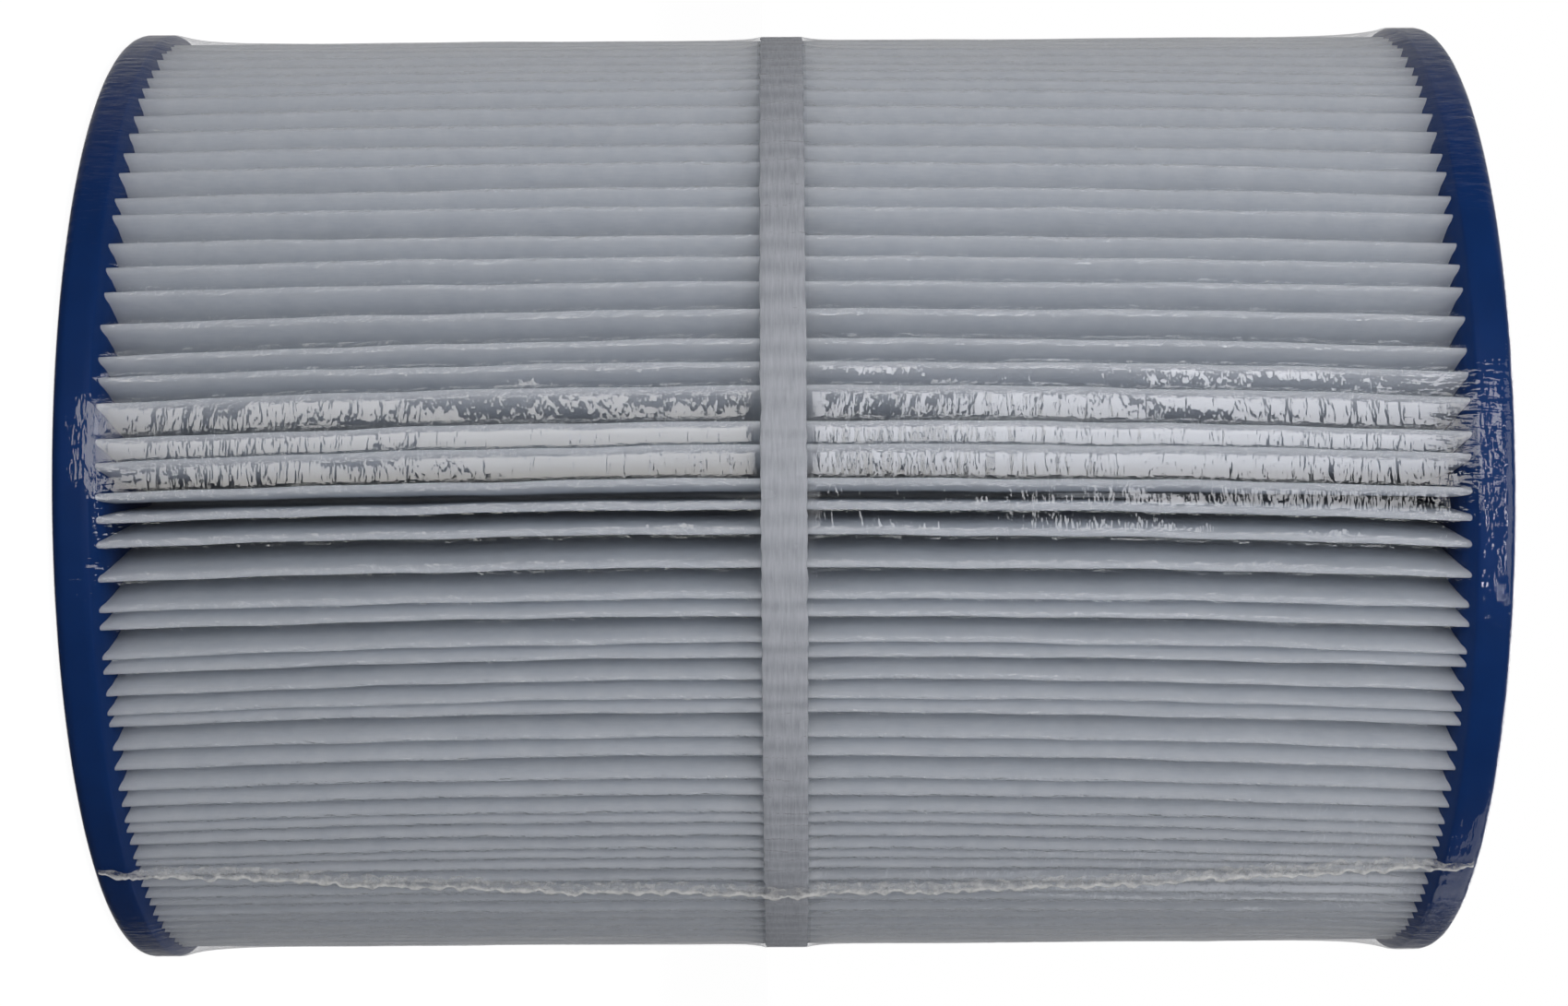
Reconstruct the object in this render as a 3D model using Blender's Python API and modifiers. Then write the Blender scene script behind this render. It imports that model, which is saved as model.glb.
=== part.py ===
"""Pleated filter cartridge for a pool or spa, standing on its bottom cap in its shrink sleeve.

Frame: metres, +Z up along the cartridge's axis. The origin is the centre of the lowest face,
which is the sealing ring of the bottom cap.

Build order, as it is made: perforated core, pleated strip round it, side seam of the strip,
band round the pleat tips, a cast cap on each end, then the film sleeve and its weld seam.
"""

import math

import bmesh
import bpy
from mathutils import Matrix, Vector

MM = 0.001
GAP = 0.3 * MM  # between pieces that touch on the real object

# Caps: flat urethane castings. The rim is what shows from the side.
CAP_RADIUS = 88.9 * MM
RIM_TO_RIM = 244.5 * MM
RIM_HEIGHT = 6.6 * MM
RIM_ROUNDING = 2.0 * MM
CAP_CHAMFER = 0.5 * MM
BORE_RADIUS = 38.1 * MM
SEAL_RING_RADIUS = 49.0 * MM
SEAL_RING_HEIGHT = 0.8 * MM

# Core: a perforated tube, potted in a groove of each cap.
CORE_INNER_RADIUS = 40.0 * MM
CORE_OUTER_RADIUS = 42.4 * MM
CORE_POTTED_DEPTH = 3.0 * MM
WINDOW_ROWS = 7
WINDOWS_PER_ROW = 10
WINDOW_WIDTH = 16.0 * MM
WINDOW_HEIGHT = 22.0 * MM
WINDOW_ROW_PITCH = 31.0 * MM

# Media: one strip folded into pleats that stand out from the core. The real strip is 0.5 mm
# thick in 124 pleats; here it has half the pleats at twice the thickness, for the same mass.
PLEATS = 62
MEDIA_THICKNESS = 1.0 * MM
VALLEY_RADIUS = 43.5 * MM
CREST_RADIUS = 86.4 * MM
VALLEY_WIDTH = 1.8 * MM
CREST_WIDTH = 2.4 * MM

# Side seam: hot melt between the strip's two end panels.
SEAM_ANGLE = math.radians(90.0)
SEAM_THICKNESS = 0.6 * MM
SEAM_DEPTH = 14.0 * MM

# Band and the glue line under it.
GLUE_THICKNESS = 0.3 * MM
GLUE_HEIGHT = 3.0 * MM
BAND_THICKNESS = 0.5 * MM
BAND_HEIGHT = 7.8 * MM

# Shrink sleeve, pulled over both rims to a round eye on each end face.
FILM_THICKNESS = 0.2 * MM
FILM_EYE_RADIUS = 55.0 * MM
WELD_ANGLE = math.radians(-39.0)
WELD_WIDTH = 1.6 * MM
WELD_HEIGHT = 0.5 * MM

# How finely round shapes are divided.
ROUND_STEPS = 60
CORE_STEPS = 40
CORNER_STEPS = 3

SEAL_FACE = RIM_HEIGHT + SEAL_RING_HEIGHT  # from a cap's inner face to its sealing face
PACK_HEIGHT = RIM_TO_RIM - 2 * RIM_HEIGHT  # between the inner faces of the caps
MIDDLE = SEAL_FACE + PACK_HEIGHT / 2  # height of the cartridge's middle


def clear_scene():
    for item in list(bpy.data.objects):
        bpy.data.objects.remove(item)


def new_collection(name):
    collection = bpy.data.collections.new(name)
    bpy.context.scene.collection.children.link(collection)
    return collection


def new_material(name, rgb, roughness, alpha=1.0):
    material = bpy.data.materials.new(name)
    material.use_nodes = True
    shader = material.node_tree.nodes["Principled BSDF"]
    shader.inputs["Base Color"].default_value = (*rgb, 1.0)
    shader.inputs["Roughness"].default_value = roughness
    shader.inputs["Alpha"].default_value = alpha
    material.diffuse_color = (*rgb, alpha)
    return material


def new_object(name, mesh, material, collection, parent, location):
    piece = bpy.data.objects.new(name, mesh)
    collection.objects.link(piece)
    piece.parent = parent
    piece.location = location
    if material and not mesh.materials:
        mesh.materials.append(material)
    return piece


def polar(radius, angle, across=0.0):
    """A point at a radius and an angle, moved sideways by a distance across that radius."""
    out = Vector((math.cos(angle), math.sin(angle)))
    side = Vector((-out.y, out.x))
    return out * radius + side * across


def arc(centre, radius, start, end, steps):
    """Points on an arc in the (radius, height) plane, both ends included."""
    points = []
    for step in range(steps + 1):
        angle = math.radians(start + (end - start) * step / steps)
        points.append((centre[0] + radius * math.cos(angle), centre[1] + radius * math.sin(angle)))
    return points


def profile_mesh(name, points, closed):
    """A line of (radius, height) points in the XZ plane, for a Screw modifier to turn."""
    mesh = bpy.data.meshes.new(name)
    edges = [(i, i + 1) for i in range(len(points) - 1)]
    if closed:
        edges.append((len(points) - 1, 0))
    mesh.from_pydata([(r, 0.0, z) for r, z in points], edges, [])
    return mesh


def add_screw(piece, steps):
    screw = piece.modifiers.new("turn", "SCREW")
    screw.steps = steps
    screw.render_steps = steps
    screw.use_merge_vertices = True
    screw.merge_threshold = 0.0001
    screw.use_smooth_shade = True


def cap_profile():
    """Section of one cap, from its inner face at 0 up to its sealing face."""
    rim_corner = (CAP_RADIUS - RIM_ROUNDING, RIM_HEIGHT - RIM_ROUNDING)
    groove_out = CORE_OUTER_RADIUS + GAP
    groove_in = CORE_INNER_RADIUS - GAP
    groove_top = CORE_POTTED_DEPTH + GAP
    points = arc(rim_corner, RIM_ROUNDING, 90.0, 0.0, CORNER_STEPS)
    points += [(CAP_RADIUS, CAP_CHAMFER), (CAP_RADIUS - CAP_CHAMFER, 0.0)]
    points += [(groove_out, 0.0), (groove_out, groove_top)]
    points += [(groove_in, groove_top), (groove_in, 0.0)]
    points += [(BORE_RADIUS + CAP_CHAMFER, 0.0), (BORE_RADIUS, CAP_CHAMFER)]
    points += [(BORE_RADIUS, SEAL_FACE - CAP_CHAMFER), (BORE_RADIUS + CAP_CHAMFER, SEAL_FACE)]
    points += [(SEAL_RING_RADIUS, SEAL_FACE)]
    points += [(SEAL_RING_RADIUS + SEAL_RING_HEIGHT, RIM_HEIGHT)]
    return points


def make_caps(collection, axis):
    """Two castings of one shape, the bottom one turned over."""
    urethane = new_material("blue_urethane", (0.012, 0.045, 0.16), 0.42)
    mesh = profile_mesh("end_cap", cap_profile(), closed=True)
    top = new_object("top_end_cap", mesh, urethane, collection, axis, (0, 0, PACK_HEIGHT / 2))
    low = new_object("bottom_end_cap", mesh, urethane, collection, axis, (0, 0, -PACK_HEIGHT / 2))
    low.rotation_euler.x = math.pi
    for cap in (top, low):
        add_screw(cap, ROUND_STEPS)


def window_cutter(collection, axis):
    """One box for each window of the core, rows staggered by half a step."""
    mesh = bpy.data.meshes.new("window_cutter")
    boxes = bmesh.new()
    wall_middle = (CORE_INNER_RADIUS + CORE_OUTER_RADIUS) / 2
    depth = 3 * (CORE_OUTER_RADIUS - CORE_INNER_RADIUS)
    size = Matrix.Diagonal((depth, WINDOW_WIDTH, WINDOW_HEIGHT, 1.0))
    for row in range(WINDOW_ROWS):
        height = (row - (WINDOW_ROWS - 1) / 2) * WINDOW_ROW_PITCH
        for column in range(WINDOWS_PER_ROW):
            turn = 2 * math.pi * (column + 0.5 * (row % 2)) / WINDOWS_PER_ROW
            place = Matrix.Rotation(turn, 4, "Z") @ Matrix.Translation((wall_middle, 0, height))
            bmesh.ops.create_cube(boxes, size=1.0, matrix=place @ size)
    boxes.to_mesh(mesh)
    boxes.free()
    cutter = new_object("window_cutter", mesh, None, collection, axis, (0, 0, 0))
    cutter.hide_render = True
    cutter.display_type = "WIRE"
    return cutter


def make_core(collection, cutters, axis):
    plastic = new_material("white_core_plastic", (0.72, 0.73, 0.72), 0.45)
    half = PACK_HEIGHT / 2 + CORE_POTTED_DEPTH
    wall = [
        (CORE_OUTER_RADIUS, half),
        (CORE_OUTER_RADIUS, -half),
        (CORE_INNER_RADIUS, -half),
        (CORE_INNER_RADIUS, half),
    ]
    mesh = profile_mesh("core_tube", wall, closed=True)
    core = new_object("core_tube", mesh, plastic, collection, axis, (0, 0, 0))
    add_screw(core, CORE_STEPS)
    cut = core.modifiers.new("windows", "BOOLEAN")
    cut.operation = "DIFFERENCE"
    cut.solver = "EXACT"
    cut.object = window_cutter(cutters, axis)


def pleat_path():
    """The middle line of the folded strip, seen from above, from one free edge to the other."""
    step = 2 * math.pi / PLEATS
    end_offset = (SEAM_THICKNESS + MEDIA_THICKNESS) / 2 + GAP
    path = [polar(CREST_RADIUS, SEAM_ANGLE, end_offset)]
    for pleat in range(PLEATS):
        valley = SEAM_ANGLE + (pleat + 0.5) * step
        crest = SEAM_ANGLE + (pleat + 1) * step
        path.append(polar(VALLEY_RADIUS, valley, -VALLEY_WIDTH / 2))
        path.append(polar(VALLEY_RADIUS, valley, VALLEY_WIDTH / 2))
        if pleat < PLEATS - 1:
            path.append(polar(CREST_RADIUS, crest, -CREST_WIDTH / 2))
            path.append(polar(CREST_RADIUS, crest, CREST_WIDTH / 2))
    path.append(polar(CREST_RADIUS, SEAM_ANGLE, -end_offset))
    return path


def make_media(collection, axis):
    """The strip is a line of folds, drawn up to its height and given its thickness."""
    spunbond = new_material("spunbond_media", (0.66, 0.68, 0.70), 0.85)
    height = PACK_HEIGHT - 2 * GAP
    strip = bmesh.new()
    points = [strip.verts.new((p.x, p.y, -height / 2)) for p in pleat_path()]
    folds = [strip.edges.new(pair) for pair in zip(points, points[1:])]
    drawn = bmesh.ops.extrude_edge_only(strip, edges=folds)
    upper = [item for item in drawn["geom"] if isinstance(item, bmesh.types.BMVert)]
    bmesh.ops.translate(strip, verts=upper, vec=(0, 0, height))
    mesh = bpy.data.meshes.new("pleated_media")
    strip.to_mesh(mesh)
    strip.free()
    media = new_object("pleated_media", mesh, spunbond, collection, axis, (0, 0, 0))
    thick = media.modifiers.new("thickness", "SOLIDIFY")
    thick.thickness = MEDIA_THICKNESS
    thick.offset = 0.0
    thick.use_even_offset = True


def make_bar(name, size, centre, angle, material, collection, axis):
    """A long bar that stands along Z, its depth on the radius at an angle."""
    mesh = bpy.data.meshes.new(name)
    bar = bmesh.new()
    bmesh.ops.create_cube(bar, size=1.0, matrix=Matrix.Diagonal((*size, 1.0)))
    bar.to_mesh(mesh)
    bar.free()
    at = polar(centre, angle)
    piece = new_object(name, mesh, material, collection, axis, (at.x, at.y, 0.0))
    piece.rotation_euler.z = angle
    edge = piece.modifiers.new("edges", "BEVEL")
    edge.width = min(size) / 5
    edge.segments = 1


def make_side_seam(collection, axis):
    glue = new_material("side_seam_hot_melt", (0.78, 0.76, 0.68), 0.5)
    size = (SEAM_DEPTH, SEAM_THICKNESS, PACK_HEIGHT - 2 * GAP)
    centre = CREST_RADIUS - SEAM_DEPTH / 2
    make_bar("media_side_seam", size, centre, SEAM_ANGLE, glue, collection, axis)


def ring_profile(inner, thickness, height):
    outer = inner + thickness
    return [(outer, height / 2), (outer, -height / 2), (inner, -height / 2), (inner, height / 2)]


def make_band(collection, axis):
    """Glue line on the pleat tips, and the strip wound over it."""
    glue = new_material("band_hot_melt", (0.80, 0.78, 0.70), 0.5)
    cloth = new_material("spunbond_band", (0.62, 0.63, 0.66), 0.9)
    glue_inner = CREST_RADIUS + MEDIA_THICKNESS / 2 + GAP
    band_inner = glue_inner + GLUE_THICKNESS + GAP
    line = profile_mesh("band_glue_line", ring_profile(glue_inner, GLUE_THICKNESS, GLUE_HEIGHT), True)
    band = profile_mesh("centre_band", ring_profile(band_inner, BAND_THICKNESS, BAND_HEIGHT), True)
    for mesh, material in ((line, glue), (band, cloth)):
        piece = new_object(mesh.name, mesh, material, collection, axis, (0, 0, 0))
        add_screw(piece, ROUND_STEPS)


def film_profile():
    """Inner face of the sleeve: in from the top eye, round both rims, and out to the lower eye."""
    face = RIM_TO_RIM / 2 + GAP
    rounding = RIM_ROUNDING + GAP
    corner_radius = CAP_RADIUS - RIM_ROUNDING
    corner_height = RIM_TO_RIM / 2 - RIM_ROUNDING
    points = [(FILM_EYE_RADIUS, face)]
    points += arc((corner_radius, corner_height), rounding, 90.0, 0.0, CORNER_STEPS)
    points += arc((corner_radius, -corner_height), rounding, 0.0, -90.0, CORNER_STEPS)
    points.append((FILM_EYE_RADIUS, -face))
    return points


def make_film(collection, axis):
    film = new_material("clear_shrink_film", (0.9, 0.92, 0.95), 0.08, alpha=0.15)
    mesh = profile_mesh("shrink_film", film_profile(), closed=False)
    sleeve = new_object("shrink_film", mesh, film, collection, axis, (0, 0, 0))
    add_screw(sleeve, ROUND_STEPS)
    thick = sleeve.modifiers.new("thickness", "SOLIDIFY")
    thick.thickness = FILM_THICKNESS
    thick.offset = 1.0
    thick.use_even_offset = True

    weld = new_material("film_weld", (0.85, 0.87, 0.9), 0.25, alpha=0.6)
    size = (WELD_HEIGHT, WELD_WIDTH, RIM_TO_RIM - 2 * RIM_ROUNDING)
    centre = CAP_RADIUS + GAP + FILM_THICKNESS + GAP + WELD_HEIGHT / 2
    make_bar("film_weld_seam", size, centre, WELD_ANGLE, weld, collection, axis)


def main():
    clear_scene()
    parts = new_collection("filter_cartridge")
    cutters = new_collection("cutters")
    axis = bpy.data.objects.new("cartridge_axis", None)
    parts.objects.link(axis)
    axis.location = (0, 0, MIDDLE)
    make_core(parts, cutters, axis)
    make_media(parts, axis)
    make_side_seam(parts, axis)
    make_band(parts, axis)
    make_caps(parts, axis)
    make_film(parts, axis)


main()
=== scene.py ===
import math

import bmesh
import bpy
import numpy as np
from mathutils import Matrix, Vector


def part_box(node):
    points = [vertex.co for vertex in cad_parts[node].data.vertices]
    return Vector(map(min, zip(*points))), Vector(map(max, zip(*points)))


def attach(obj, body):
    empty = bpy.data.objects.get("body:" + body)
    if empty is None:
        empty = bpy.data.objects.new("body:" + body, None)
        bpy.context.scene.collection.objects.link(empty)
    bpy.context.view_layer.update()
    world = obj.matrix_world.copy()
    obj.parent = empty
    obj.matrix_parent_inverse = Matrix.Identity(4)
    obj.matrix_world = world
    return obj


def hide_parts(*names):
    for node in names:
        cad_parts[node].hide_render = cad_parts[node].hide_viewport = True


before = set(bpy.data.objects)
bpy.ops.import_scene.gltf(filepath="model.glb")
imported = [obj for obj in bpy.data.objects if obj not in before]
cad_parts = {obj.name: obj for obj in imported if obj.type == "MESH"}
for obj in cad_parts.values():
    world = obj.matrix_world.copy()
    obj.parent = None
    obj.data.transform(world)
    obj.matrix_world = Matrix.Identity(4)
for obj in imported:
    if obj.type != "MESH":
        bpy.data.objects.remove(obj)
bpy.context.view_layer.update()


# ---- Core tube ---------------------------------------------------------------------------
# The stiff tube that the pleats stand on: injection moulded in natural white ABS, with rows
# of rounded windows for the water. Both its ends are potted in the caps.

MM = 0.001


def linear(hex_colour):
    """An sRGB hex colour as the linear red, green, blue, alpha that Blender's sockets take."""
    parts = [int(hex_colour[i:i + 2], 16) / 255 for i in (1, 3, 5)]
    return (*[c / 12.92 if c <= 0.04045 else ((c + 0.055) / 1.055) ** 2.4 for c in parts], 1.0)


def add_node(tree, kind, settings=None, **links):
    """Adds a node. settings are its properties or socket values; links feed its sockets."""
    node = tree.nodes.new(kind)
    for name, value in (settings or {}).items():
        if hasattr(node, name):
            setattr(node, name, value)
        else:
            node.inputs[int(name) if name.isdigit() else name].default_value = value
    for name, source in links.items():
        socket = int(name[1:]) if name[1:].isdigit() else name.replace("_", " ")
        tree.links.new(source, node.inputs[socket])
    return node


def noise(tree, vector, size=1.0, detail=2.0, roughness=0.5):
    """A smooth random pattern with patches of about a size, in metres unless vector is scaled."""
    return add_node(tree, "ShaderNodeTexNoise", {"Scale": 1 / size, "Detail": detail,
                                                 "Roughness": roughness}, Vector=vector)


def two_tone(tree, first, second, share):
    """A blend of two sRGB hex colours."""
    return add_node(tree, "ShaderNodeMix", {"data_type": "RGBA", "6": linear(first),
                                            "7": linear(second)}, _0=share).outputs[2]


def new_material(name):
    """An empty material and the output node that its shader goes into."""
    material = bpy.data.materials.new(name)
    material.use_nodes = True
    tree = material.node_tree
    tree.nodes.clear()
    return material, tree, tree.nodes.new("ShaderNodeOutputMaterial")


def grid_piece(name, points, material, around=False, closed=False, uv=None, marks=None):
    """A piece from rows of points. around joins each row's ends, closed joins last row to first."""
    rows, columns = points.shape[:2]
    index = np.arange(rows * columns).reshape(rows, columns)
    below = np.roll(index, -1, axis=0) if closed else index[1:]
    upper = index if closed else index[:-1]
    if around:
        right_upper, right_below = np.roll(upper, -1, axis=1), np.roll(below, -1, axis=1)
    else:
        upper, right_upper = upper[:, :-1], upper[:, 1:]
        below, right_below = below[:, :-1], below[:, 1:]
    faces = np.stack([upper, right_upper, right_below, below], axis=-1).reshape(-1, 4)
    mesh = bpy.data.meshes.new(name)
    mesh.from_pydata(points.reshape(-1, 3).tolist(), [], faces.tolist())
    mesh.shade_smooth()
    if uv is not None:
        layer = mesh.uv_layers.new(name="cloth")
        corner = np.zeros(len(mesh.loops), dtype=np.int32)
        mesh.loops.foreach_get("vertex_index", corner)
        layer.data.foreach_set("uv", uv.reshape(-1, 2)[corner].ravel())
    for mark, values in (marks or {}).items():
        layer = mesh.attributes.new(mark, "FLOAT", "POINT")
        layer.data.foreach_set("value", values.astype(np.float32).ravel())
    mesh.materials.append(material)
    piece = bpy.data.objects.new(name, mesh)
    bpy.context.scene.collection.objects.link(piece)
    return piece


def stands_for(piece, slot, *nodes):
    """The piece rides on the cartridge's one body and replaces nodes. slot is not used."""
    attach(piece, "root")
    if nodes:
        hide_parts(*nodes)


# Moulded ABS: satin, so the eye gets a soft broad highlight and a faint orange-peel skin.
core_abs, tree, out = new_material("moulded_white_abs")
where = add_node(tree, "ShaderNodeTexCoord")
peel = noise(tree, where.outputs["Object"], 1.6 * MM)
skin = add_node(tree, "ShaderNodeBump", {"Strength": 0.12, "Distance": 0.1 * MM},
                Height=peel.outputs["Fac"])
flow = noise(tree, where.outputs["Object"], 24 * MM, 3.0)
tone = two_tone(tree, "#D9DAD6", "#E6E6E1", flow.outputs["Fac"])
plastic = add_node(tree, "ShaderNodeBsdfPrincipled", {"Roughness": 0.42, "IOR": 1.53},
                   Base_Color=tone, Normal=skin.outputs["Normal"])
tree.links.new(plastic.outputs[0], out.inputs["Surface"])

CORE_WALL = 2.4 * MM
WINDOW_ROWS, WINDOWS_PER_ROW = 7, 10
WINDOW_WIDTH, WINDOW_HEIGHT, WINDOW_ROW_PITCH = 16 * MM, 22 * MM, 31 * MM
WINDOW_CORNER, CORNER_STEPS = 4 * MM, 4
CORE_COLUMNS = 160
MOULDED_EDGE = 0.35 * MM

core_low, core_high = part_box("core_tube")
core_outer = core_high[0]
core_inner = core_outer - CORE_WALL
middle_z = (core_low[2] + core_high[2]) / 2
core_turns = np.linspace(0, 2 * math.pi, CORE_COLUMNS, endpoint=False)
core_section = [(core_outer, core_high[2]), (core_outer, core_low[2]),
                (core_inner, core_low[2]), (core_inner, core_high[2])]
core_points = np.array([[[r * math.cos(a), r * math.sin(a), z] for a in core_turns]
                        for r, z in core_section])
core = grid_piece("core_tube_moulded", core_points, core_abs, around=True, closed=True)

# The windows are cut by one set of rounded prisms, every other row turned by half a spacing.
cutter_mesh = bpy.data.meshes.new("core_windows")
cutter = bmesh.new()
half_width, half_height = WINDOW_WIDTH / 2 - WINDOW_CORNER, WINDOW_HEIGHT / 2 - WINDOW_CORNER
outline = []
for corner, (side, up) in enumerate([(1, 1), (-1, 1), (-1, -1), (1, -1)]):
    for step in range(CORNER_STEPS + 1):
        turn = math.radians(90 * (corner + step / CORNER_STEPS))
        outline.append((side * half_width + WINDOW_CORNER * math.cos(turn),
                        up * half_height + WINDOW_CORNER * math.sin(turn)))
for row in range(WINDOW_ROWS):
    height = middle_z + (row - (WINDOW_ROWS - 1) / 2) * WINDOW_ROW_PITCH
    for column in range(WINDOWS_PER_ROW):
        turn = Matrix.Rotation(2 * math.pi * (column + 0.5 * (row % 2)) / WINDOWS_PER_ROW, 3, "Z")
        near, far = ([cutter.verts.new(turn @ Vector((radius, y, height + z))) for y, z in outline]
                     for radius in (core_inner - CORE_WALL, core_outer + CORE_WALL))
        cutter.faces.new(near[::-1])
        cutter.faces.new(far)
        for i in range(len(outline)):
            j = (i + 1) % len(outline)
            cutter.faces.new((near[i], near[j], far[j], far[i]))
bmesh.ops.recalc_face_normals(cutter, faces=cutter.faces)
cutter.to_mesh(cutter_mesh)
cutter.free()
windows = bpy.data.objects.new("core_windows", cutter_mesh)
bpy.context.scene.collection.objects.link(windows)
cut = core.modifiers.new("windows", "BOOLEAN")
cut.object = windows
core_mesh = bpy.data.meshes.new_from_object(
    core.evaluated_get(bpy.context.evaluated_depsgraph_get()))
core.modifiers.clear()
core.data = core_mesh
bpy.data.objects.remove(windows)
edges = core.modifiers.new("moulded_edges", "BEVEL")
edges.width = MOULDED_EDGE
edges.segments = 2
edges.limit_method = "ANGLE"
edges.angle_limit = math.radians(50)
core_mesh.set_sharp_from_angle(angle=math.radians(45))
stands_for(core, "core_plastic", "core_tube")


# ---- Pleated media -----------------------------------------------------------------------
# One strip of spunbonded polyester, folded on a pleating machine into 124 tall pleats and
# wrapped round the core. Only the caps and the band hold the folds, so their pitch wanders.

PLEATS = 124
SEAM_TURN = math.radians(90)  # the strip's ends meet at the back
FRONT_TURN = math.radians(270)
POTTED = 1.2 * MM  # how deep each end of the strip sits in its cap
STRIP_ROWS = 50
OWN_PITCH, STATION_PITCH = 0.30, 0.10  # how far a fold's pitch strays, as shares of the pitch

media_low, media_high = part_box("pleated_media")
crest_radius = media_high[0] + 0.3 * MM  # the longest folds stand a little proud
valley_radius = core_outer + 0.9 * MM
strip_z = np.linspace(media_low[2] - POTTED, media_high[2] + POTTED, STRIP_ROWS)
along = (strip_z - strip_z[0]) / (strip_z[-1] - strip_z[0])

chance = np.random.default_rng(41)
even_turn = SEAM_TURN + 2 * math.pi * (np.arange(PLEATS) + 0.5) / PLEATS
# The pack has slid a little round the core: wider folds on one side of the front, tighter
# on the other, even again at the back.
SLIDE = 0.145  # how much wider or tighter, as a share of the pitch
SLIDE_CHANGE, SLIDE_END = math.radians(7), math.radians(82)
off_front = even_turn - FRONT_TURN
slid = -SLIDE * np.tanh(off_front / SLIDE_CHANGE) * np.exp(-(off_front / SLIDE_END) ** 6)
own_pitch = 1 + slid + OWN_PITCH * chance.uniform(-1, 1, PLEATS)


def crests_at_station():
    """Angle of every crest at one of the three places that hold the pleats."""
    pitch = own_pitch + STATION_PITCH * chance.uniform(-1, 1, PLEATS)
    pitch *= 2 * math.pi / pitch.sum()
    return SEAM_TURN + np.concatenate([[0], np.cumsum(pitch)])[:-1]


held = np.stack([crests_at_station() for _ in range(3)])  # bottom cap, band, top cap


def between_stations(values):
    """Values at the bottom cap, the band and the top cap, carried smoothly along the strip."""
    low, mid, high = values
    t = along[:, None]
    weights = (2 * (t - 0.5) * (t - 1), 4 * t * (1 - t), 2 * t * (t - 0.5))
    return weights[0] * low + weights[1] * mid + weights[2] * high


def ripple(count, wave_counts, height):
    """A gentle random wave along the strip for each fold, still at the caps and the band."""
    t = along[:, None]
    total = sum(np.sin(2 * math.pi * (n * t + chance.uniform(0, 1, count))) for n in wave_counts)
    return height * total * np.abs(np.sin(2 * math.pi * t)) ** 0.5


crest_turn = between_stations(held) + ripple(PLEATS, (2.7, 5.3, 11.0), 0.08 * MM) / crest_radius
uneven_reach = 0.16 * MM * chance.uniform(-1, 1, (3, PLEATS))
crest_reach = crest_radius - 0.05 * MM + between_stations(uneven_reach)
crest_reach = crest_reach + ripple(PLEATS, (1.7, 4.1), 0.04 * MM)
next_turn = np.roll(crest_turn, -1, axis=1)
next_turn[:, -1] += 2 * math.pi
valley_turn = (crest_turn + next_turn) / 2 + (next_turn - crest_turn) * (
    0.06 * chance.uniform(-1, 1, PLEATS))
# The film bends the folds' tips over, away from a gap at the front where they part. The bend
# dies out round the sides of the cartridge.
GAP_TURN = FRONT_TURN + math.radians(2)
BEND_DEPTH = 7 * MM
BEND_BEFORE, BEND_AFTER = 2.0 * MM, -0.8 * MM
from_gap = crest_turn - GAP_TURN
past_side = np.clip((np.abs(from_gap) - math.radians(75)) / math.radians(30), 0, 1)
bend = np.where(from_gap < 0, BEND_BEFORE, BEND_AFTER) * (1 - past_side)
bend = bend * np.clip(np.abs(from_gap) / math.radians(6), 0, 1)
next_bend = np.roll(bend, -1, axis=1)
valley_turn = valley_turn + (bend + next_bend) / 2 / valley_radius
bow = ripple(2 * PLEATS, (0.8, 1.9), 0.16 * MM) + 0.12 * MM * chance.uniform(-1, 1, 2 * PLEATS)

# Half section of a fold at its crest: depth under the tip and distance from its middle. At the
# root it is one point: height over the root's deepest line and distance from its middle.
CREST_HALF = [(10 * MM, 0.76 * MM), (4.5 * MM, 0.74 * MM), (1.9 * MM, 0.68 * MM),
              (0.6 * MM, 0.58 * MM), (0.12 * MM, 0.36 * MM)]
VALLEY_HALF = (0.6 * MM, 0.34 * MM)


def at(radius, turn, across):
    """Points at a radius and an angle, moved sideways across that radius."""
    return np.stack([radius * np.cos(turn) - across * np.sin(turn),
                     radius * np.sin(turn) + across * np.cos(turn)], axis=-1)


def crest_side(pleat, turn, side):
    """One side of a fold's crest, from deep inside to the tip, bent over with the fold."""
    reach = crest_reach[:, pleat]
    return [at(reach - depth, turn,
               side * across + bend[:, pleat] * (1 - math.exp(-depth / BEND_DEPTH)))
            for depth, across in CREST_HALF]


def root(pleat, side):
    """One side of the fold's root that follows a crest, against the core."""
    height, across = VALLEY_HALF
    return at(valley_radius + height, valley_turn[:, pleat], side * across)


def panel_middle(deep, foot, turn, panel):
    """The middle of a fold's side, between its bent part and its root, a little bowed."""
    return (deep + foot) / 2 + at(np.zeros(len(deep)), turn, bow[:, panel])


columns = []
for pleat in range(PLEATS):
    turn = crest_turn[:, pleat]
    if pleat > 0:
        rising = crest_side(pleat, turn, -1)
        columns += [panel_middle(rising[0], root(pleat - 1, 1), turn, 2 * pleat), *rising,
                    at(crest_reach[:, pleat], turn, 0 * turn)]
    falling = crest_side(pleat, turn, 1)[::-1]
    columns += [*falling, panel_middle(falling[-1], root(pleat, -1), turn, 2 * pleat + 1)]
    columns += [root(pleat, -1), at(valley_radius, valley_turn[:, pleat], 0 * turn),
                root(pleat, 1)]
# The last panel comes back out to the seam, beside the first.
columns += crest_side(0, crest_turn[:, 0] + 2 * math.pi, -1)
flat_xy = np.stack(columns, axis=1)
height_of = np.broadcast_to(strip_z[:, None, None], (*flat_xy.shape[:2], 1))
strip_points = np.concatenate([flat_xy, height_of], axis=2)
step_length = np.linalg.norm(np.diff(flat_xy[len(flat_xy) // 2], axis=0), axis=1)
unrolled = np.concatenate([[0], np.cumsum(step_length)])
strip_uv = np.stack(np.broadcast_arrays(unrolled[None, :], strip_z[:, None]), axis=-1)


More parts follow.
